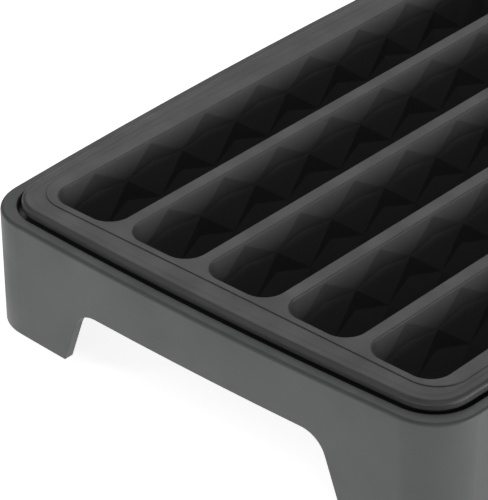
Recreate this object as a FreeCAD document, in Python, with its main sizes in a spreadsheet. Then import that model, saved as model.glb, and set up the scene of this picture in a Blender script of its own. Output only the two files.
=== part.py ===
"""Bottle drying rack: a legged stand, a drip tray hanging in it, and a slotted top whose
channel walls carry a relief of diamond facets. Millimetres, +Z up, +Y along the slots.
The origin is on the surface the rack stands on, at the middle of its footprint."""

import FreeCAD, Part
import Sketcher
import math
import os

from FreeCAD import Vector

UP = Vector(0, 0, 1)

# Driving dimensions: name, value, what it is.
SIZES = [
    ("slot_count", 5, "slots side by side"),
    ("slot_width", 25.4, "width of one slot at the land"),
    ("slot_length", 209.0, "length of one slot at the land"),
    ("slot_corner", 7.1, "corner radius of a slot at the land"),
    ("rib_width", 4.6, "land left between two slots"),
    ("side_border", 11.9, "outer slot to the rim, at mid-length"),
    ("end_border", 10.9, "slot end to the rim, at mid-width"),
    ("side_crown", 2300.0, "radius of the bowed long sides of the stand"),
    ("end_crown", 1430.0, "radius of the bowed short sides of the stand"),
    ("stand_corner", 16.0, "corner radius of the stand in plan"),
    ("rim_corner", 12.9, "corner radius of the top's rim in plan"),
    ("rack_height", 42.2, "surface to the land of the top"),
    ("lip_drop", 3.0, "land down to the lip of the stand"),
    ("lip_width", 4.2, "flat lip round the top"),
    ("rim_gap", 1.3, "dark gap between the rim and the lip"),
    ("rebate_depth", 3.4, "lip down to the ledge that carries the tray"),
    ("ledge_width", 3.6, "ledge that carries the tray"),
    ("ledge_thickness", 3.0, "thickness of that ledge"),
    ("stand_wall", 3.2, "wall of the stand"),
    ("stand_draft", 0.8, "draft of the stand's walls, degrees"),
    ("arch_rise", 20.9, "surface to the top of the arches"),
    ("end_arch_width", 78.8, "flat top of the arches in the short sides"),
    ("side_arch_width", 118.0, "flat top of the arches in the long sides"),
    ("arch_flare", 19.4, "slope of the arch ends from upright, degrees"),
    ("arch_corner", 9.0, "radius at the top of an arch end"),
    ("lip_edge", 1.1, "rounding of the lip's outer edge"),
    ("soft_edge", 0.5, "rounding of the other edges"),
    ("post_height", 9.0, "post inside a leg, for its foot pad"),
    ("post_radius", 8.3, "post inside a leg, before the walls cut it"),
    ("pad_inset", 15.5, "overall side to the middle of a foot pad"),
    ("pad_radius", 4.5, "foot pad"),
    ("pad_thickness", 2.4, "foot pad"),
    ("pad_stand_off", 0.8, "how far a pad stands below the leg"),
    ("land_side", 5.0, "raised land beside the outer slots"),
    ("land_end", 2.4, "raised land past the slots' ends"),
    ("land_step", 0.25, "height of the raised land above the flange"),
    ("land_corner", 11.0, "corner radius of the raised land"),
    ("flange_thickness", 1.6, "flange of the top"),
    ("rim_round", 1.5, "rounded outer edge of the flange"),
    ("valley_inset", 2.7, "rim to the middle of the shallow valley"),
    ("valley_radius", 5.0, "section radius of the valley"),
    ("valley_depth", 0.12, "depth of the valley"),
    ("slot_edge", 0.5, "rounded top edge of a slot"),
    ("channel_depth", 24.0, "land down to a channel's floor"),
    ("channel_floor_width", 13.9, "width of a channel's floor"),
    ("channel_floor_corner", 3.0, "corner radius of a channel's floor"),
    ("channel_wall", 2.8, "wall of a channel, measured flat"),
    ("channel_floor", 1.8, "thickness of a channel's floor"),
    ("skirt_depth", 5.0, "locating skirt under the flange"),
    ("skirt_wall", 1.6, "locating skirt under the flange"),
    ("skirt_gap", 0.5, "play between the skirt and the tray"),
    ("drain_width", 3.0, "drain slot in a channel's floor"),
    ("drain_length", 12.0, "drain slot in a channel's floor"),
    ("facet_count", 8, "whole diamonds along a channel wall"),
    ("facet_margin", 7.1, "slot end to the first facet corner"),
    ("facet_top", 0.8, "depth of the upper diamonds' top corners"),
    ("facet_side", 8.1, "depth of the upper diamonds' side corners"),
    ("facet_bottom", 18.1, "depth of the upper diamonds' bottom corners"),
    ("upper_centre", 7.0, "depth of an upper diamond's middle"),
    ("upper_recess", 0.9, "how far that middle is set back"),
    ("lower_centre", 15.1, "depth of a lower diamond's middle"),
    ("lower_recess", 2.0, "how far that middle is set back"),
    ("tray_rim", 1.1, "thickness of the tray's rim"),
    ("tray_shoulder_inset", 1.4, "rim overhang outside the tray's shoulder"),
    ("tray_gap", 0.5, "play between the tray and the stand's ledge"),
    ("tray_wall", 2.0, "wall of the tray"),
    ("tray_floor", 1.8, "floor of the tray"),
    ("tray_room", 2.2, "drained water space under the channels"),
    ("tray_edge", 2.5, "rounded bottom edge of the tray"),
]

# Lengths that follow from the sizes, as expressions for the document's objects.
FIELD_WIDTH = "(sheet.slot_count * sheet.slot_width + (sheet.slot_count - 1) * sheet.rib_width)"
RIM_INSET = "(sheet.lip_width + sheet.rim_gap)"
HALF_X = f"({FIELD_WIDTH} / 2 + sheet.side_border + {RIM_INSET})"
HALF_Y = f"(sheet.slot_length / 2 + sheet.end_border + {RIM_INSET})"
LIP_HEIGHT = "(sheet.rack_height - sheet.lip_drop)"
LEDGE_HEIGHT = f"({LIP_HEIGHT} - sheet.rebate_depth)"
FLANGE_TOP = "(sheet.rack_height - sheet.land_step)"
FLANGE_UNDERSIDE = f"({FLANGE_TOP} - sheet.flange_thickness)"
WELL_INSET = "(sheet.lip_width + sheet.ledge_width)"
TRAY_INSET = f"({WELL_INSET} + sheet.tray_gap)"
CHANNEL_FLOOR = "(sheet.rack_height - sheet.channel_depth)"
CHANNEL_UNDERSIDE = f"({CHANNEL_FLOOR} - sheet.channel_floor)"
TRAY_UNDERSIDE = f"({CHANNEL_UNDERSIDE} - sheet.tray_room - sheet.tray_floor)"
SKIRT_INSET = f"({TRAY_INSET} + sheet.tray_wall + sheet.skirt_gap)"
PITCH = "(sheet.slot_width + sheet.rib_width)"
PAD_X = f"({HALF_X} - sheet.pad_inset)"
PAD_Y = f"({HALF_Y} - sheet.pad_inset)"

CORNERS = [
    ("front_left", -1, -1),
    ("front_right", 1, -1),
    ("back_left", -1, 1),
    ("back_right", 1, 1),
]

doc = FreeCAD.newDocument("bottle_drying_rack")
sheet = doc.addObject("Spreadsheet::Sheet", "sheet")
for row, (alias, value, note) in enumerate(SIZES, start=1):
    sheet.set(f"A{row}", alias)
    sheet.set(f"B{row}", str(value))
    sheet.set(f"C{row}", note)
    sheet.setAlias(f"B{row}", alias)
doc.recompute()


def number(expression):
    """The value of an expression such as HALF_X, from the sheet's cells."""
    return float(sheet.evalExpression(expression.replace("sheet.", "")))


# --- outlines ---------------------------------------------------------------------------


def origin_plane(body, role):
    """The body's own origin plane with this role, such as XY_Plane."""
    return next(f for f in body.Origin.OriginFeatures if f.Role == role)


def new_sketch(body, name, role="XY_Plane", height=None):
    """A sketch on one of the body's origin planes, raised by the expression height."""
    sketch = body.newObject("Sketcher::SketchObject", name)
    sketch.AttachmentSupport = [(origin_plane(body, role), "")]
    sketch.MapMode = "FlatFace"
    if height:
        sketch.setExpression(".AttachmentOffset.Base.z", height)
    return sketch


def constrain(sketch, name, expression, *words):
    """A driving dimension of the sketch, bound to an expression."""
    index = sketch.addConstraint(Sketcher.Constraint(*words, number(expression)))
    sketch.renameConstraint(index, name)
    sketch.setExpression(f"Constraints.{name}", expression)


def corner_of(outline, inset):
    """Corner radius, as an expression, of the stand's or the rim's outline moved inwards."""
    if outline == "stand":
        return f"(sheet.stand_corner - {inset})"
    return f"(sheet.rim_corner + {RIM_INSET} - {inset})"


def corner_centre(side, side_x, end, end_y, corner):
    """Where a corner arc that is tangent to a bowed side and a bowed end has its centre.

    It lies side - corner from one crown's centre and end - corner from the other's.
    """
    reach = math.hypot(side_x, end_y)
    along = ((side - corner) ** 2 - (end - corner) ** 2 + reach**2) / (2 * reach)
    off = math.sqrt((side - corner) ** 2 - along**2)
    toward = Vector(-side_x, end_y, 0) / reach
    aside = Vector(-end_y, -side_x, 0) / reach
    return Vector(side_x, 0, 0) + toward * along + aside * off


def crowned_outline(sketch, inset, outline="rim"):
    """A plan outline moved inwards by inset: four bowed sides and four round corners."""
    corner_words = corner_of(outline, inset)
    corner = number(corner_words)
    side = number(f"sheet.side_crown - {inset}")
    end = number(f"sheet.end_crown - {inset}")
    side_x = number(f"{HALF_X} - sheet.side_crown")
    end_y = number(f"{HALF_Y} - sheet.end_crown")
    centre = corner_centre(side, side_x, end, end_y, corner)
    low = math.atan2(centre.y, centre.x - side_x)
    high = math.atan2(centre.y - end_y, centre.x)
    turn = math.pi

    def arc(x, y, radius, start, stop):
        circle = Part.Circle(Vector(x, y, 0), UP, radius)
        return sketch.addGeometry(Part.ArcOfCircle(circle, start, stop), False)

    right = arc(side_x, 0, side, -low, low)
    north_east = arc(centre.x, centre.y, corner, low, high)
    back = arc(0, end_y, end, high, turn - high)
    north_west = arc(-centre.x, centre.y, corner, turn - high, turn - low)
    left = arc(-side_x, 0, side, turn - low, turn + low)
    south_west = arc(-centre.x, -centre.y, corner, turn + low, turn + high)
    front = arc(0, -end_y, end, turn + high, 2 * turn - high)
    south_east = arc(centre.x, -centre.y, corner, 2 * turn - high, 2 * turn - low)
    ring = [right, north_east, back, north_west, left, south_west, front, south_east]
    rule = Sketcher.Constraint
    for here, there in zip(ring, ring[1:] + ring[:1]):
        sketch.addConstraint(rule("Tangent", here, 2, there, 1))
    for index in (right, left):
        sketch.addConstraint(rule("PointOnObject", index, 3, -1))
    for index in (front, back):
        sketch.addConstraint(rule("PointOnObject", index, 3, -2))
    sketch.addConstraint(rule("Equal", right, left))
    sketch.addConstraint(rule("Equal", back, front))
    for other in (north_west, south_west, south_east):
        sketch.addConstraint(rule("Equal", north_east, other))
    constrain(sketch, "side_radius", f"sheet.side_crown - {inset}", "Radius", right)
    constrain(sketch, "end_radius", f"sheet.end_crown - {inset}", "Radius", back)
    constrain(sketch, "corner", corner_words, "Radius", north_east)
    side_offset = f"sheet.side_crown - {HALF_X}"
    end_offset = f"sheet.end_crown - {HALF_Y}"
    constrain(sketch, "right_centre", side_offset, "DistanceX", right, 3, -1, 1)
    constrain(sketch, "left_centre", side_offset, "DistanceX", -1, 1, left, 3)
    constrain(sketch, "back_centre", end_offset, "DistanceY", back, 3, -1, 1)
    constrain(sketch, "front_centre", end_offset, "DistanceY", -1, 1, front, 3)


def rounded_rectangle(sketch, half_x, half_y, radius, middle_x="0"):
    """A rounded rectangle about (middle_x, 0), each size an expression."""
    x = number(half_x)
    y = number(half_y)
    r = number(radius)
    mid = number(middle_x)
    corners = []
    for sign_x, sign_y, start in ((1, 1, 0), (-1, 1, 90), (-1, -1, 180), (1, -1, 270)):
        circle = Part.Circle(Vector(mid + sign_x * (x - r), sign_y * (y - r), 0), UP, r)
        arc = Part.ArcOfCircle(circle, math.radians(start), math.radians(start + 90))
        corners.append(sketch.addGeometry(arc, False))
    ends = [sketch.Geometry[c] for c in corners]
    lines = []
    for here, there in zip(range(4), (1, 2, 3, 0)):
        line = Part.LineSegment(ends[here].EndPoint, ends[there].StartPoint)
        lines.append(sketch.addGeometry(line, False))
    for index in range(4):
        line = lines[index]
        following = corners[(index + 1) % 4]
        sketch.addConstraint(Sketcher.Constraint("Tangent", corners[index], 2, line, 1))
        sketch.addConstraint(Sketcher.Constraint("Tangent", line, 2, following, 1))
        if index:
            sketch.addConstraint(Sketcher.Constraint("Equal", corners[0], corners[index]))
    sketch.addConstraint(Sketcher.Constraint("Horizontal", lines[0]))
    sketch.addConstraint(Sketcher.Constraint("Vertical", lines[1]))
    constrain(sketch, "corner", radius, "Radius", corners[0])
    if mid >= 0:
        constrain(sketch, "right", f"{middle_x} + {half_x} - {radius}", "DistanceX", -1, 1, corners[0], 3)
        constrain(sketch, "width", f"2 * ({half_x} - {radius})", "DistanceX", corners[1], 3, corners[0], 3)
    else:
        constrain(sketch, "left", f"{half_x} - {radius} - {middle_x}", "DistanceX", corners[1], 3, -1, 1)
        constrain(sketch, "width", f"2 * ({half_x} - {radius})", "DistanceX", corners[1], 3, corners[0], 3)
    constrain(sketch, "back", f"{half_y} - {radius}", "DistanceY", -1, 1, corners[0], 3)
    constrain(sketch, "length", f"2 * ({half_y} - {radius})", "DistanceY", corners[3], 3, corners[0], 3)


# --- features ---------------------------------------------------------------------------


def pad_down(body, name, sketch, depth, taper=None):
    """Material from the sketch downwards by the expression depth."""
    pad = body.newObject("PartDesign::Pad", name)
    pad.Profile = sketch
    pad.Reversed = True
    pad.setExpression("Length", depth)
    if taper:
        pad.setExpression("TaperAngle", taper)
    doc.recompute()
    return pad


def cut_down(body, name, sketch, depth, taper=None):
    """Material removed from the sketch downwards by the expression depth."""
    before = body.Shape.Volume
    pocket = body.newObject("PartDesign::Pocket", name)
    pocket.Profile = sketch
    pocket.setExpression("Length", depth)
    if taper:
        pocket.setExpression("TaperAngle", taper)
    doc.recompute()
    if body.Shape.Volume >= before:
        raise RuntimeError(f"{name} removes nothing")
    return pocket


def edges_where(shape, keep):
    """Names of the shape's edges that keep chooses."""
    return [f"Edge{index}" for index, edge in enumerate(shape.Edges, start=1) if keep(edge)]


def lies_at(edge, height):
    """True when the whole edge lies at this height."""
    box = edge.BoundBox
    return abs(box.ZMin - height) < 1e-4 and abs(box.ZMax - height) < 1e-4


def fillet_outline(body, name, radius, height, inset, outline="rim"):
    """A fillet along the crowned outline with this inset that lies at this height."""
    level = number(height)
    radii = [number(f"sheet.side_crown - {inset}"), number(f"sheet.end_crown - {inset}")]
    radii.append(number(corner_of(outline, inset)))

    def on_outline(edge):
        if not hasattr(edge.Curve, "Radius") or not lies_at(edge, level):
            return False
        return any(abs(edge.Curve.Radius - r) < 1e-4 for r in radii)

    base = body.Tip
    fillet = body.newObject("PartDesign::Fillet", name)
    fillet.Base = (base, edges_where(base.Shape, on_outline))
    fillet.setExpression("Radius", radius)
    doc.recompute()
    return fillet


# --- stand ------------------------------------------------------------------------------


def arch_profile(body, name, role, flat_width):
    """A flared arch opening, from below the legs up to arch_rise, mirrored about the middle."""
    sketch = new_sketch(body, name, role)
    rise = number("sheet.arch_rise")
    half = number(f"{flat_width} / 2")
    flare = math.radians(number("sheet.arch_flare"))
    radius = number("sheet.arch_corner")
    below = 5.0
    sweep = math.pi / 2 - flare
    foot_x = half + radius * math.sin(sweep)
    foot_z = rise - radius * (1 - math.cos(sweep))
    reach = (foot_z + below) * math.tan(flare)
    centre_z = rise - radius
    top = sketch.addGeometry(Part.LineSegment(Vector(half, rise, 0), Vector(-half, rise, 0)), False)
    left_circle = Part.Circle(Vector(-half, centre_z, 0), UP, radius)
    left = sketch.addGeometry(Part.ArcOfCircle(left_circle, math.pi / 2, math.pi - flare), False)
    left_side = Part.LineSegment(Vector(-foot_x, foot_z, 0), Vector(-foot_x - reach, -below, 0))
    left_end = sketch.addGeometry(left_side, False)
    floor_line = Part.LineSegment(Vector(-foot_x - reach, -below, 0), Vector(foot_x + reach, -below, 0))
    floor = sketch.addGeometry(floor_line, False)
    right_side = Part.LineSegment(Vector(foot_x + reach, -below, 0), Vector(foot_x, foot_z, 0))
    right_end = sketch.addGeometry(right_side, False)
    right_circle = Part.Circle(Vector(half, centre_z, 0), UP, radius)
    right = sketch.addGeometry(Part.ArcOfCircle(right_circle, flare, math.pi / 2), False)
    rule = Sketcher.Constraint
    sketch.addConstraint(rule("Tangent", top, 2, left, 1))
    sketch.addConstraint(rule("Tangent", left, 2, left_end, 1))
    sketch.addConstraint(rule("Coincident", left_end, 2, floor, 1))
    sketch.addConstraint(rule("Coincident", floor, 2, right_end, 1))
    sketch.addConstraint(rule("Tangent", right_end, 2, right, 1))
    sketch.addConstraint(rule("Tangent", right, 2, top, 1))
    sketch.addConstraint(rule("Equal", left, right))
    sketch.addConstraint(rule("Symmetric", top, 1, top, 2, -2))
    sketch.addConstraint(rule("Symmetric", floor, 1, floor, 2, -2))
    constrain(sketch, "flat", flat_width, "DistanceX", top, 2, top, 1)
    constrain(sketch, "corner", "sheet.arch_corner", "Radius", left)
    constrain(sketch, "rise", "sheet.arch_rise", "DistanceY", -1, 1, top, 1)
    sketch.addConstraint(rule("DistanceY", floor, 1, -1, 1, below))
    angle = sketch.addConstraint(rule("Angle", right_end, math.pi / 2 + flare))
    sketch.renameConstraint(angle, "slope")
    sketch.setExpression("Constraints.slope", "(90 + sheet.arch_flare) * 1deg")
    return sketch


def corner_circles(sketch, radius):
    """Four circles of this radius, one over each foot pad's place."""
    for corner, sign_x, sign_y in CORNERS:
        spot = Vector(sign_x * number(PAD_X), sign_y * number(PAD_Y), 0)
        ring = sketch.addGeometry(Part.Circle(spot, UP, number(radius)), False)
        from_middle = (-1, 1, ring, 3)
        to_middle = (ring, 3, -1, 1)
        constrain(sketch, f"radius_{corner}", radius, "Radius", ring)
        ends = from_middle if sign_x > 0 else to_middle
        constrain(sketch, f"across_{corner}", PAD_X, "DistanceX", *ends)
        ends = from_middle if sign_y > 0 else to_middle
        constrain(sketch, f"along_{corner}", PAD_Y, "DistanceY", *ends)


def make_stand():
    """The legged shell with its rebate, well, arches, and posts socketed for the foot pads."""
    body = doc.addObject("PartDesign::Body", "stand_body")
    body.Label = "stand"
    draft = "sheet.stand_draft * 1deg"
    outer = new_sketch(body, "stand_outline", height=LIP_HEIGHT)
    crowned_outline(outer, "0", "stand")
    pad_down(body, "outer_form", outer, f"{LIP_HEIGHT} - sheet.pad_stand_off", f"-({draft})")
    top_depth = "(sheet.rebate_depth + sheet.ledge_thickness)"
    hollow = new_sketch(body, "hollow_outline", height=f"{LIP_HEIGHT} - {top_depth}")
    crowned_outline(hollow, f"(sheet.stand_wall + {top_depth} * tan({draft}))", "stand")
    cut_down(body, "hollow", hollow, "sheet.rack_height", f"-({draft})")
    rebate = new_sketch(body, "rebate_outline", height=LIP_HEIGHT)
    crowned_outline(rebate, "sheet.lip_width")
    cut_down(body, "rebate", rebate, "sheet.rebate_depth")
    well = new_sketch(body, "well_outline", height=LIP_HEIGHT)
    crowned_outline(well, WELL_INSET)
    cut_down(body, "well", well, f"{top_depth} + 1")
    for name, role, width in (
        ("end_arches", "XZ_Plane", "sheet.end_arch_width"),
        ("side_arches", "YZ_Plane", "sheet.side_arch_width"),
    ):
        arches = body.newObject("PartDesign::Pocket", name)
        arches.Profile = arch_profile(body, f"{name}_profile", role, width)
        arches.Type = 1
        arches.Midplane = True
        doc.recompute()
    fillet_outline(body, "lip_rounding", "sheet.lip_edge", LIP_HEIGHT, "0", "stand")
    fillet_outline(body, "rebate_rounding", "sheet.soft_edge", LIP_HEIGHT, "sheet.lip_width")
    circles = new_sketch(body, "post_circles", height="sheet.pad_stand_off")
    corner_circles(circles, "sheet.post_radius")
    posts = body.newObject("PartDesign::Pad", "posts")
    posts.Profile = circles
    posts.setExpression("Length", "sheet.post_height")
    doc.recompute()
    for corner, sign_x, sign_y in CORNERS:
        middle = Vector(sign_x * number(PAD_X), sign_y * number(PAD_Y), 0)
        middle.z = number("sheet.pad_stand_off + sheet.post_height / 2")
        if not posts.Shape.isInside(middle, 1e-3, True):
            raise RuntimeError(f"the post at {corner} is missing")
    mouths = new_sketch(body, "socket_circles", height="sheet.pad_stand_off")
    corner_circles(mouths, "sheet.pad_radius")
    sockets = body.newObject("PartDesign::Pocket", "sockets")
    sockets.Profile = mouths
    sockets.Reversed = True
    sockets.setExpression("Length", "sheet.pad_thickness - sheet.pad_stand_off")
    doc.recompute()
    return body


# --- drip tray --------------------------------------------------------------------------


def make_tray():
    """The tray that hangs by its rim on the stand's ledge, under the slotted top."""
    body = doc.addObject("PartDesign::Body", "tray_body")
    body.Label = "drip_tray"
    rim = new_sketch(body, "rim_outline", height=FLANGE_UNDERSIDE)
    crowned_outline(rim, RIM_INSET)
    pad_down(body, "rim", rim, "sheet.tray_rim")
    shoulder = new_sketch(body, "shoulder_outline", height=FLANGE_UNDERSIDE)
    crowned_outline(shoulder, f"({RIM_INSET} + sheet.tray_shoulder_inset)")
    pad_down(body, "shoulder", shoulder, f"{FLANGE_UNDERSIDE} - {LEDGE_HEIGHT}")
    basin = new_sketch(body, "basin_outline", height=FLANGE_UNDERSIDE)
    crowned_outline(basin, TRAY_INSET)
    pad_down(body, "basin", basin, f"{FLANGE_UNDERSIDE} - {TRAY_UNDERSIDE}")
    fillet_outline(body, "basin_edge", "sheet.tray_edge", TRAY_UNDERSIDE, TRAY_INSET)
    inside = new_sketch(body, "inside_outline", height=FLANGE_UNDERSIDE)
    inner_inset = f"({TRAY_INSET} + sheet.tray_wall)"
    crowned_outline(inside, inner_inset)
    floor = f"({TRAY_UNDERSIDE} + sheet.tray_floor)"
    cut_down(body, "inside", inside, f"{FLANGE_UNDERSIDE} - {floor}")
    fillet_outline(body, "floor_edge", "sheet.tray_edge - 1", floor, inner_inset)
    return body


# --- slotted top ------------------------------------------------------------------------


def make_plate():
    """The flange with its rounded rim and shallow valley, the raised land and the skirt."""
    body = doc.addObject("PartDesign::Body", "plate_body")
    flange = new_sketch(body, "flange_outline", height=FLANGE_TOP)
    crowned_outline(flange, RIM_INSET)
    pad_down(body, "flange", flange, "sheet.flange_thickness")
    fillet_outline(body, "rim_rounding", "sheet.rim_round", FLANGE_TOP, RIM_INSET)
    valley_path = new_sketch(body, "valley_path", height=FLANGE_TOP)
    crowned_outline(valley_path, f"({RIM_INSET} + sheet.valley_inset)")
    section = new_sketch(body, "valley_section", "XZ_Plane")
    across = f"{HALF_X} - {RIM_INSET} - sheet.valley_inset"
    lift = f"{FLANGE_TOP} + sheet.valley_radius - sheet.valley_depth"
    middle = Vector(number(across), number(lift), 0)
    circle = Part.Circle(middle, UP, number("sheet.valley_radius"))
    round_section = section.addGeometry(circle, False)
    constrain(section, "radius", "sheet.valley_radius", "Radius", round_section)
    constrain(section, "across", across, "DistanceX", -1, 1, round_section, 3)
    constrain(section, "lift", lift, "DistanceY", -1, 1, round_section, 3)
    doc.recompute()
    valley = body.newObject("PartDesign::SubtractivePipe", "valley")
    valley.Profile = section
    valley.Spine = (valley_path, [])
    doc.recompute()
    land = new_sketch(body, "land_outline", height="sheet.rack_height")
    half_x = f"({FIELD_WIDTH} / 2 + sheet.land_side)"
    half_y = "(sheet.slot_length / 2 + sheet.land_end)"
    rounded_rectangle(land, half_x, half_y, "sheet.land_corner")
    pad_down(body, "land", land, "sheet.land_step + sheet.flange_thickness / 2")
    skirt = new_sketch(body, "skirt_outline", height=FLANGE_UNDERSIDE)
    crowned_outline(skirt, SKIRT_INSET)
    pad_down(body, "skirt", skirt, "sheet.skirt_depth")
    inside = new_sketch(body, "skirt_inside", height=FLANGE_UNDERSIDE)
    crowned_outline(inside, f"({SKIRT_INSET} + sheet.skirt_wall)")
    cut_down(body, "skirt_hollow", inside, "sheet.skirt_depth")
    return body


def channel_section(name, height, half_x, half_y, radius, middle_x):
    """A rounded rectangle lying at one height: one end of a lofted channel."""
    sketch = doc.addObject("Sketcher::SketchObject", name)
    sketch.setExpression(".Placement.Base.z", height)
    rounded_rectangle(sketch, half_x, half_y, radius, middle_x)
    return sketch


def channel_loft(name, sections):
    """A solid with straight sides between rounded rectangles at different heights."""
    loft = doc.addObject("Part::Loft", name)
    loft.Sections = sections
    loft.Solid = True
    loft.Ruled = True
    return loft


WALL_SLOPE = "((sheet.slot_width - sheet.channel_floor_width) / (2 * sheet.channel_depth))"
MOUTH_OVERLAP = 1.0


def channel_half(depth, size, grow="0"):
    """Half of a channel's width or length at a depth below the land."""
    return f"({size} / 2 - {WALL_SLOPE} * {depth} + {grow})"


def corner_at(depth, grow="0"):
    """Corner radius of a channel at a depth below the land."""
    slope = "((sheet.slot_corner - sheet.channel_floor_corner) / sheet.channel_depth)"
    return f"(sheet.slot_corner - {slope} * {depth} + {grow})"


def make_channel(index):
    """One channel: the trough's outer form, and the hollow inside it without its facets."""
    middle = f"({index} - (sheet.slot_count - 1) / 2) * {PITCH}"
    forms = []
    for word, top, bottom, grow in (
        ("trough", "sheet.slot_edge", "(sheet.channel_depth + sheet.channel_floor)", "sheet.channel_wall"),
        ("hollow", f"(0 - {MOUTH_OVERLAP})", "sheet.channel_depth", "0"),
    ):
        ends = []
        for end, depth in (("mouth", top), ("floor", bottom)):
            ends.append(
                channel_section(
                    f"{word}_{end}_{index}",
                    f"sheet.rack_height - {depth}",
                    channel_half(depth, "sheet.slot_width", grow),
                    channel_half(depth, "sheet.slot_length", grow),
                    corner_at(depth, grow),
                    middle,
                )
            )
        forms.append(channel_loft(f"{word}_{index}", ends))
    return forms


def diamond(points, peak, back):
    """A solid over a diamond of four points, with a peak on one side and a back on the other."""
    faces = []
    for here, there in zip(points, points[1:] + points[:1]):
        for tip in (peak, back):
            faces.append(Part.Face(Part.makePolygon([here, there, tip, here])))
    solid = Part.Solid(Part.Shell(faces))
    if solid.Volume < 0:
        solid.reverse()
    return solid


def facet_relief():
    """The diamond recesses of both long walls of a channel centred on X = 0."""
    slope = number(WALL_SLOPE)
    height = number("sheet.rack_height")
    half_width = number("sheet.slot_width / 2")
    length = number("sheet.slot_length")
    margin = number("sheet.facet_margin")
    count = int(number("sheet.facet_count"))
    step = (length - 2 * margin) / count
    first = margin - length / 2
    top = number("sheet.facet_top")
    side = number("sheet.facet_side")
    bottom = number("sheet.facet_bottom")
    behind = number("sheet.slot_edge") * 2

    def on_wall(y, depth, recess=0.0):
        return Vector(-half_width + slope * depth - recess, y, height - depth)

    solids = []
    for index in range(count):
        left = first + index * step
        mid = left + step / 2
        right = left + step
        ring = [on_wall(mid, top), on_wall(right, side), on_wall(mid, bottom), on_wall(left, side)]
        centre = number("sheet.upper_centre")
        peak = on_wall(mid, centre, number("sheet.upper_recess"))
        solids.append(diamond(ring, peak, on_wall(mid, centre, -behind)))
    lowest = 2 * bottom - side
    for index in range(1, count):
        mid = first + index * step
        left = mid - step / 2
        right = mid + step / 2
        ring = [on_wall(mid, side), on_wall(right, bottom), on_wall(mid, lowest), on_wall(left, bottom)]
        centre = number("sheet.lower_centre")
        peak = on_wall(mid, centre, number("sheet.lower_recess"))
        solids.append(diamond(ring, peak, on_wall(mid, centre, -behind)))
    depth = number("sheet.channel_depth")
    reach = half_width + 10
    above_floor = Part.makeBox(
        2 * reach, length, depth, Vector(-reach, -length / 2, height - depth)
    )
    one_wall = [solid.common(above_floor) for solid in solids]
    other_wall = [solid.mirror(Vector(), Vector(1, 0, 0)) for solid in one_wall]
    return one_wall + other_wall


def drain_slots():
    """A row of round-ended slots through a channel's floor, one under each diamond."""
    width = number("sheet.drain_width")
    straight = number("sheet.drain_length") - width
    count = int(number("sheet.facet_count"))
    margin = number("sheet.facet_margin")
    step = (number("sheet.slot_length") - 2 * margin) / count
    low = number(CHANNEL_UNDERSIDE) - 1
    tall = number("sheet.channel_floor") + 2
    slots = []
    for index in range(count):
        mid = (index - (count - 1) / 2) * step
        start = mid - straight / 2
        block = Part.makeBox(width, straight, tall, Vector(-width / 2, start, low))
        ends = [
            Part.makeCylinder(width / 2, tall, Vector(0, y, low)) for y in (start, start + straight)
        ]
        slots.append(block.fuse(ends).removeSplitter())
    return slots


def make_top():
    """The plate with its channels: troughs added, then hollows, facets and drains removed."""
    plate = make_plate()
    count = int(number("sheet.slot_count"))
    troughs = []
    hollows = []
    for index in range(count):
        trough, hollow = make_channel(index)
        troughs.append(trough)
        hollows.append(hollow)
    solid_top = doc.addObject("Part::MultiFuse", "plate_with_troughs")
    solid_top.Shapes = [plate] + troughs
    doc.recompute()
    relief = facet_relief() + drain_slots()
    facets = []
    for index in range(count):
        middle = number(f"({index} - (sheet.slot_count - 1) / 2) * {PITCH}")
        one = doc.addObject("Part::Feature", f"facets_{index}")
        one.Shape = Part.makeCompound(relief)
        one.Placement = FreeCAD.Placement(Vector(middle, 0, 0), FreeCAD.Rotation())
        facets.append(one)
    plain = doc.addObject("Part::Cut", "top_with_hollows")
    plain.Base = solid_top
    hollow_group = doc.addObject("Part::Compound", "hollow_group")
    hollow_group.Links = hollows
    plain.Tool = hollow_group
    doc.recompute()
    level = number("sheet.rack_height")
    half_x = number(f"{FIELD_WIDTH} / 2 + sheet.land_side / 2")
    half_y = number("(sheet.slot_length + sheet.land_end) / 2")

    def slot_mouth(edge):
        box = edge.BoundBox
        across = max(box.XMax, -box.XMin) < half_x
        along = max(box.YMax, -box.YMin) < half_y
        return lies_at(edge, level) and across and along

    rounded = doc.addObject("Part::Fillet", "slot_mouths")
    rounded.Base = plain
    radius = number("sheet.slot_edge")
    chosen = edges_where(plain.Shape, slot_mouth)
    rounded.Edges = [(int(edge[4:]), radius, radius) for edge in chosen]
    doc.recompute()
    facet_group = doc.addObject("Part::Compound", "facet_group")
    facet_group.Links = facets
    top = doc.addObject("Part::Cut", "slotted_top")
    top.Base = rounded
    top.Tool = facet_group
    top.Label = "slotted_top"
    doc.recompute()
    return top


# --- foot pads --------------------------------------------------------------------------


def make_pad(corner, sign_x, sign_y):
    """A soft disc pressed into a leg's socket, with a rounded foot edge."""
    disc = doc.addObject("Part::Cylinder", f"disc_{corner}")
    disc.setExpression("Radius", "sheet.pad_radius")
    disc.setExpression("Height", "sheet.pad_thickness")
    disc.setExpression(".Placement.Base.x", f"{sign_x} * {PAD_X}")
    disc.setExpression(".Placement.Base.y", f"{sign_y} * {PAD_Y}")
    doc.recompute()
    pad = doc.addObject("Part::Fillet", f"foot_pad_{corner}")
    pad.Base = disc
    radius = number("sheet.soft_edge")
    foot_edge = edges_where(disc.Shape, lambda edge: lies_at(edge, 0))
    pad.Edges = [(int(edge[4:]), radius, radius) for edge in foot_edge]
    pad.Label = f"foot_pad_{corner}"
    return pad


# --- build, check and write -------------------------------------------------------------


def check_document():
    """Stop on any object that failed to build."""
    for item in doc.Objects:
        if "Invalid" in item.State or "Error" in item.State:
            raise RuntimeError(f"{item.Name} failed: {item.State}")


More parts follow.
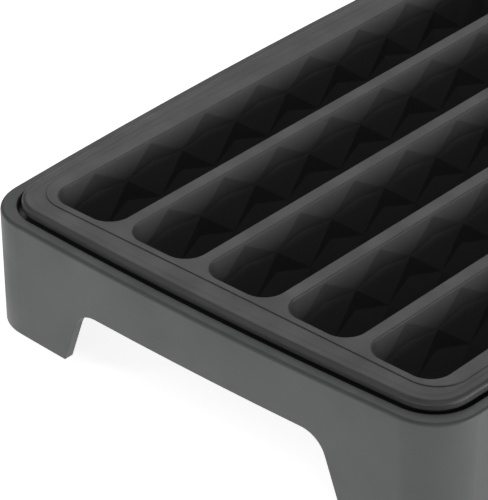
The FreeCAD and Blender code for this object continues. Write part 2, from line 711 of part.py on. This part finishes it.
def write_parts(pieces):
    """Each sub-part's checked shape goes to parts/LABEL.step."""
    for piece in pieces:
        shape = piece.Shape
        if shape.isNull() or not shape.isValid() or not shape.Solids:
            raise RuntimeError(f"{piece.Label} has no valid shape")
    os.makedirs("parts", exist_ok=True)
    for piece in pieces:
        piece.Shape.exportStep(f"parts/{piece.Label}.step")


pieces = [make_stand(), make_tray(), make_top()]
pieces += [make_pad(*corner) for corner in CORNERS]
doc.recompute()
check_document()
write_parts(pieces)
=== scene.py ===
"""Looks of the bottle drying rack: moulded plastics, rubber, a pale floor, lights, camera."""

import math

import bpy
from mathutils import Matrix, Vector


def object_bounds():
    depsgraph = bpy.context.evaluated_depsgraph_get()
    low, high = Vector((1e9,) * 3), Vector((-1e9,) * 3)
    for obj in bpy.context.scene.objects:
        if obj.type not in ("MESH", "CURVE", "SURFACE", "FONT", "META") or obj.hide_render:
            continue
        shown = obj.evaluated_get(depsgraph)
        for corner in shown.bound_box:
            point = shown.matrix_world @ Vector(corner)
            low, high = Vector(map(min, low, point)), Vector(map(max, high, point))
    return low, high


AZIMUTH = math.radians(41.81)
ELEVATION = math.radians(32.29)
ROLL = math.radians(0.13)
DISTANCE = 0.98258
AIM_FROM_CENTRE = Vector((-0.04463, -0.04968, -0.01152))
LENS = 231.98
WALL_HALF_LENGTH = 0.0975
SLOT_ROUNDING = 0.0009
EDGE_ROUNDING = 0.0004
SMOOTH_ANGLE = 28
FACET_ANGLE = 1.5
FLOOR_SIZE = 30
FLOOR_GLOW = 0.85
WORLD_STRENGTH = 0.15

# name, place from the centre, width and height in metres, watts
SOFTBOXES = (
    ("behind_left", (-1.3, 1.2, 1.5), 1.6, 1.2, 11.5),
    ("front_left", (-1.12, -1.06, 1.26), 0.6, 0.6, 3.5),
    ("above_corner", (0.82, -0.7, 1.7), 0.5, 0.5, 3),
    ("low_front", (0.4, -2.0, 0.1), 2.4, 0.35, 5.5),
    ("low_right", (2.0, 0.9, 0.35), 2.0, 0.7, 25),
)


class Nodes:
    """A material's node tree, with short ways to add and join nodes."""

    def __init__(self, name):
        self.material = bpy.data.materials.new(name)
        self.material.use_nodes = True
        self.tree = self.material.node_tree
        self.shader = self.tree.nodes["Principled BSDF"]
        self.place = self.add("ShaderNodeTexCoord").outputs["Object"]

    def add(self, kind, **settings):
        node = self.tree.nodes.new(kind)
        for key, value in settings.items():
            setattr(node, key, value)
        return node

    def join(self, source, target):
        self.tree.links.new(source, target)

    def noise(self, scale, detail, roughness=0.5):
        """Solid noise through the piece; scale is in cells to the metre."""
        node = self.add("ShaderNodeTexNoise")
        node.inputs["Scale"].default_value = scale
        node.inputs["Detail"].default_value = detail
        node.inputs["Roughness"].default_value = roughness
        self.join(self.place, node.inputs["Vector"])
        return node.outputs["Fac"]

    def spread(self, value, low, high, to_low, to_high):
        """value's span from low to high, stretched over to_low to to_high."""
        node = self.add("ShaderNodeMapRange")
        for name, number in (
            ("From Min", low),
            ("From Max", high),
            ("To Min", to_low),
            ("To Max", to_high),
        ):
            node.inputs[name].default_value = number
        self.join(value, node.inputs["Value"])
        return node.outputs["Result"]

    def mix(self, share, first, second):
        """A colour between first and second; each is a colour or another node's output."""
        node = self.add("ShaderNodeMix", data_type="RGBA")
        for name, colour in (("A", first), ("B", second)):
            socket = [s for s in node.inputs if s.name == name and s.type == "RGBA"][0]
            if isinstance(colour, tuple):
                socket.default_value = (*colour, 1)
            else:
                self.join(colour, socket)
        self.join(share, node.inputs["Factor"])
        return [s for s in node.outputs if s.type == "RGBA"][0]

    def bump(self, height, distance, strength, below=None):
        """A bump of this height in metres, on top of the normal below if that is given."""
        node = self.add("ShaderNodeBump")
        node.inputs["Distance"].default_value = distance
        node.inputs["Strength"].default_value = strength
        self.join(height, node.inputs["Height"])
        if below is not None:
            self.join(below, node.inputs["Normal"])
        return node.outputs["Normal"]


def moulded_plastic(name, colour, worn, roughness, grain, specular):
    """Satin moulded plastic: faint mottle, worn edges, spark-eroded grain, slow sink waves.

    colour and worn are the body's and the edges' base colours; grain is the bump's height.
    """
    n = Nodes(name)
    lighter = tuple(channel * 1.07 for channel in colour)
    darker = tuple(channel * 0.94 for channel in colour)
    mottle = n.spread(n.noise(55, 4, 0.6), 0.3, 0.7, 0, 1)
    body = n.mix(mottle, darker, lighter)
    edge = n.spread(n.add("ShaderNodeNewGeometry").outputs["Pointiness"], 0.52, 0.6, 0, 0.55)
    n.join(n.mix(edge, body, worn), n.shader.inputs["Base Color"])
    cloudy = n.spread(n.noise(90, 3), 0.3, 0.7, roughness - 0.04, roughness + 0.05)
    n.join(cloudy, n.shader.inputs["Roughness"])
    rounded = n.add("ShaderNodeBevel", samples=4)
    rounded.inputs["Radius"].default_value = EDGE_ROUNDING
    waves = n.bump(n.noise(26, 1), 0.0006, 0.35, rounded.outputs["Normal"])
    fine = n.bump(n.noise(1500, 2, 0.6), grain, 0.5, waves)
    n.join(fine, n.shader.inputs["Normal"])
    n.shader.inputs["Specular IOR Level"].default_value = specular
    n.shader.inputs["IOR"].default_value = 1.5
    return n.material


def rubber(name, colour):
    """Soft matt rubber with a dusty bloom."""
    n = Nodes(name)
    dusty = tuple(channel * 1.5 for channel in colour)
    bloom = n.spread(n.noise(240, 5, 0.65), 0.45, 0.8, 0, 1)
    n.join(n.mix(bloom, colour, dusty), n.shader.inputs["Base Color"])
    n.join(n.spread(n.noise(400, 3), 0.3, 0.7, 0.72, 0.86), n.shader.inputs["Roughness"])
    n.join(n.bump(n.noise(2600, 3), 0.0002, 0.4), n.shader.inputs["Normal"])
    n.shader.inputs["Specular IOR Level"].default_value = 0.35
    return n.material


def smooth_by_angle(piece, degrees):
    """Curved faces shade smoothly and edges sharper than this angle stay crisp."""
    mesh = piece.data
    if mesh.has_custom_normals:
        with bpy.context.temp_override(object=piece, active_object=piece):
            bpy.ops.mesh.customdata_custom_splitnormals_clear()
    mesh.shade_smooth()
    mesh.set_sharp_from_angle(angle=math.radians(degrees))


def keep_facets_flat(piece, degrees, low, high):
    """Between these corners, every edge sharper than the small angle stays crisp."""
    mesh = piece.data
    seen = {}
    for face in mesh.polygons:
        for a, b in face.edge_keys:
            ends = [tuple(round(value, 6) for value in mesh.vertices[i].co) for i in (a, b)]
            seen.setdefault(tuple(sorted(ends)), []).append(face.normal)
    limit = math.cos(math.radians(degrees))
    for edge in mesh.edges:
        ends = [mesh.vertices[i].co for i in edge.vertices]
        middle = (ends[0] + ends[1]) / 2
        if not all(low[i] <= middle[i] <= high[i] for i in range(3)):
            continue
        sides = seen.get(tuple(sorted(tuple(round(v, 6) for v in end) for end in ends)), [])
        if len(sides) > 1 and sides[0].dot(sides[1]) < limit:
            edge.use_edge_sharp = True


def make_floor(size, centre):
    """A large pale floor that glows a little, so that shadows on it stay faint."""
    half = size / 2
    mesh = bpy.data.meshes.new("floor")
    corners = [(-half, -half), (half, -half), (half, half), (-half, half)]
    spots = [(centre.x + x, centre.y + y, 0) for x, y in corners]
    mesh.from_pydata(spots, [], [(0, 1, 2, 3)])
    floor = bpy.data.objects.new("floor", mesh)
    bpy.context.scene.collection.objects.link(floor)
    n = Nodes("pale_floor")
    paper = n.spread(n.noise(18, 3), 0.3, 0.7, 0.78, 0.82)
    joined = n.add("ShaderNodeCombineColor")
    for channel in ("Red", "Green", "Blue"):
        n.join(paper, joined.inputs[channel])
    n.join(joined.outputs["Color"], n.shader.inputs["Base Color"])
    n.join(n.spread(n.noise(60, 2), 0.3, 0.7, 0.7, 0.8), n.shader.inputs["Roughness"])
    n.join(n.bump(n.noise(300, 3), 0.0001, 0.2), n.shader.inputs["Normal"])
    n.shader.inputs["Emission Color"].default_value = (1, 1, 1, 1)
    n.shader.inputs["Emission Strength"].default_value = FLOOR_GLOW
    mesh.materials.append(n.material)


def softbox(name, where, aim, width, height, power):
    """A rectangular studio light at where, turned towards aim."""
    light = bpy.data.lights.new(name, "AREA")
    light.shape = "RECTANGLE"
    light.size = width
    light.size_y = height
    light.energy = power
    lamp = bpy.data.objects.new(name, light)
    lamp.location = where
    lamp.rotation_mode = "QUATERNION"
    lamp.rotation_quaternion = (aim - where).to_track_quat("-Z", "Y")
    bpy.context.scene.collection.objects.link(lamp)


def make_world(strength):
    """Even white light from all round."""
    world = bpy.data.worlds.new("studio")
    world.use_nodes = True
    back = world.node_tree.nodes["Background"]
    back.inputs["Color"].default_value = (1, 1, 1, 1)
    back.inputs["Strength"].default_value = strength
    bpy.context.scene.world = world


def make_camera(centre):
    """The camera: a long lens, from above the front right corner."""
    out = math.cos(ELEVATION)
    back = Vector((math.sin(AZIMUTH) * out, -math.cos(AZIMUTH) * out, math.sin(ELEVATION)))
    level = (-back).cross(Vector((0, 0, 1))).normalized()
    upright = level.cross(-back)
    right = math.cos(ROLL) * level + math.sin(ROLL) * upright
    up = math.cos(ROLL) * upright - math.sin(ROLL) * level
    data = bpy.data.cameras.new("camera")
    data.lens = LENS
    data.sensor_width = 36
    data.clip_start = 0.05
    data.clip_end = 50
    camera = bpy.data.objects.new("camera", data)
    turned = Matrix((right, up, back)).transposed().to_4x4()
    spot = centre + AIM_FROM_CENTRE + back * DISTANCE
    camera.matrix_world = Matrix.Translation(spot) @ turned
    bpy.context.scene.collection.objects.link(camera)
    bpy.context.scene.camera = camera


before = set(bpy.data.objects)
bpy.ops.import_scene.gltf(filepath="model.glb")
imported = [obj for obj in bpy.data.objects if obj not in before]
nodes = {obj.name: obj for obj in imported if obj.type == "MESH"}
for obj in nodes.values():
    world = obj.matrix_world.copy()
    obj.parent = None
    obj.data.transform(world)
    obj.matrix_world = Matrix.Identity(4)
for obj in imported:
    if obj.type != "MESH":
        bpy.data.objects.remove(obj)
cad_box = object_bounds()
low, high = cad_box
centre = (low + high) / 2

stand_plastic = moulded_plastic(
    "stand_plastic", (0.068, 0.071, 0.072), (0.11, 0.112, 0.113), 0.5, 0.00012, 0.5
)
top_plastic = moulded_plastic(
    "top_plastic", (0.052, 0.052, 0.055), (0.09, 0.09, 0.094), 0.46, 0.0001, 0.5
)
tray_plastic = moulded_plastic(
    "tray_plastic", (0.05, 0.05, 0.053), (0.08, 0.08, 0.082), 0.5, 0.0001, 0.5
)
pad_rubber = rubber("pad_rubber", (0.022, 0.022, 0.024))

finishes = {"stand": stand_plastic, "slotted_top": top_plastic, "drip_tray": tray_plastic}
for name, piece in nodes.items():
    piece.data.materials.clear()
    piece.data.materials.append(finishes.get(name, pad_rubber))
    smooth_by_angle(piece, SMOOTH_ANGLE)
walls_low = Vector((low.x, -WALL_HALF_LENGTH, 0))
walls_high = Vector((high.x, WALL_HALF_LENGTH, high.z - SLOT_ROUNDING))
keep_facets_flat(nodes["slotted_top"], FACET_ANGLE, walls_low, walls_high)

make_floor(FLOOR_SIZE, centre)
make_world(WORLD_STRENGTH)
for name, offset, width, height, power in SOFTBOXES:
    softbox(name, centre + Vector(offset), centre, width, height, power)
make_camera(centre)

bpy.context.scene.view_settings.view_transform = "Standard"
bpy.context.scene.view_settings.look = "None"
